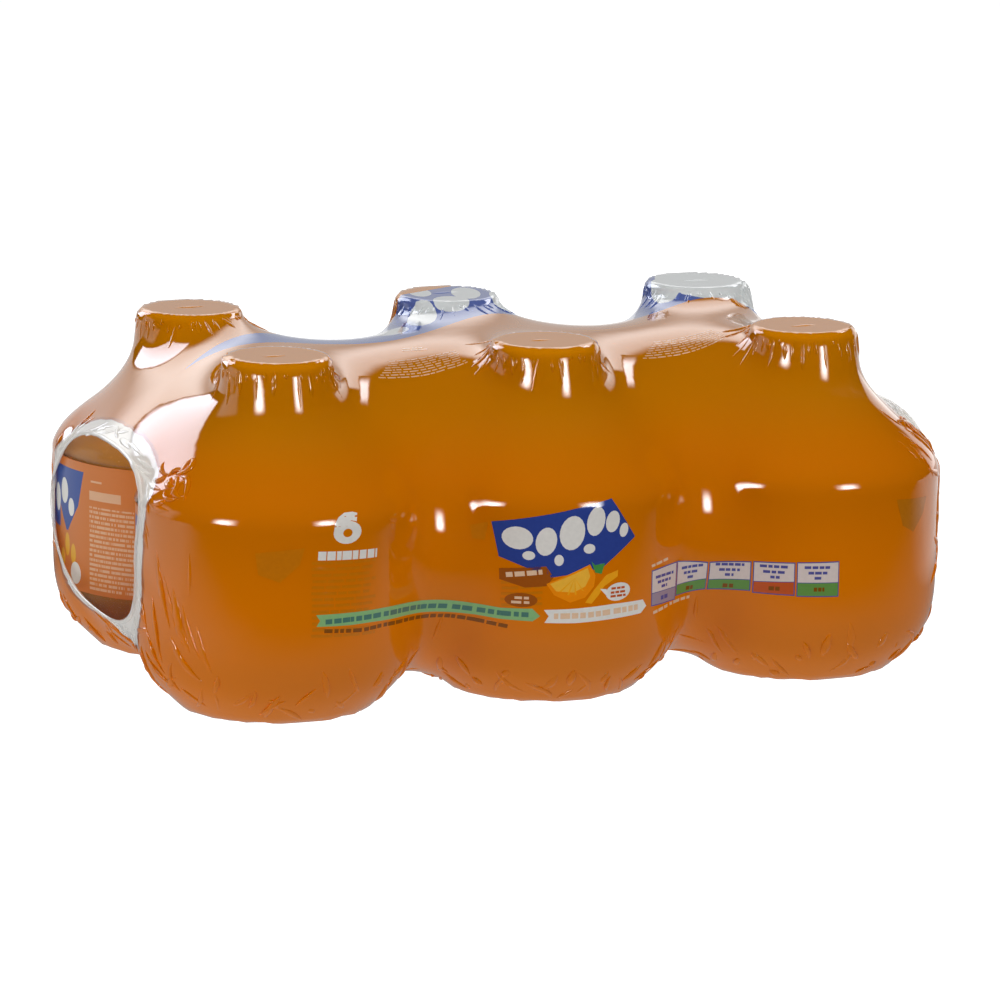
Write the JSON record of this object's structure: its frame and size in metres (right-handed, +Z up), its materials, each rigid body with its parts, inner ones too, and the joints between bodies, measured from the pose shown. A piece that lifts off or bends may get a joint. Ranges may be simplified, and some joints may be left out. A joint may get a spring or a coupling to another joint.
{
  "type": "shrink-wrapped six-pack of orange soda bottles",
  "caption": "Shrink-wrapped block of small round drink bottles in two rows, held by one tight printed film with an open hole at each end.",
  "frame": {"origin": "middle of the pack on the surface that it stands on", "axes": "+X along the rows of three, +Z up, the printed front towards -Y"},
  "size_m": [0.2274, 0.1523, 0.0943],
  "materials": {
    "film": "very glossy printed polyethylene shrink film, nearly opaque orange, clear at the end holes",
    "bottle": "clear blown PET",
    "drink": "orange soft drink seen through the bottle",
    "label": "printed plastic label, satin",
    "cap": "moulded polyethylene, satin"
  },
  "bodies": {
    "root": {"film": "film", "bottle_front_left": "bottle", "bottle_front_middle": "bottle", "bottle_front_right": "bottle", "bottle_back_left": "bottle", "bottle_back_middle": "bottle", "bottle_back_right": "bottle", "drink_front_left": "drink", "drink_front_middle": "drink", "drink_front_right": "drink", "drink_back_left": "drink", "drink_back_middle": "drink", "drink_back_right": "drink", "label_front_left": "label", "label_front_middle": "label", "label_front_right": "label", "label_back_left": "label", "label_back_middle": "label", "label_back_right": "label", "cap_front_left": "cap", "cap_front_middle": "cap", "cap_front_right": "cap", "cap_back_left": "cap", "cap_back_middle": "cap", "cap_back_right": "cap"}
  },
  "joints": []
}
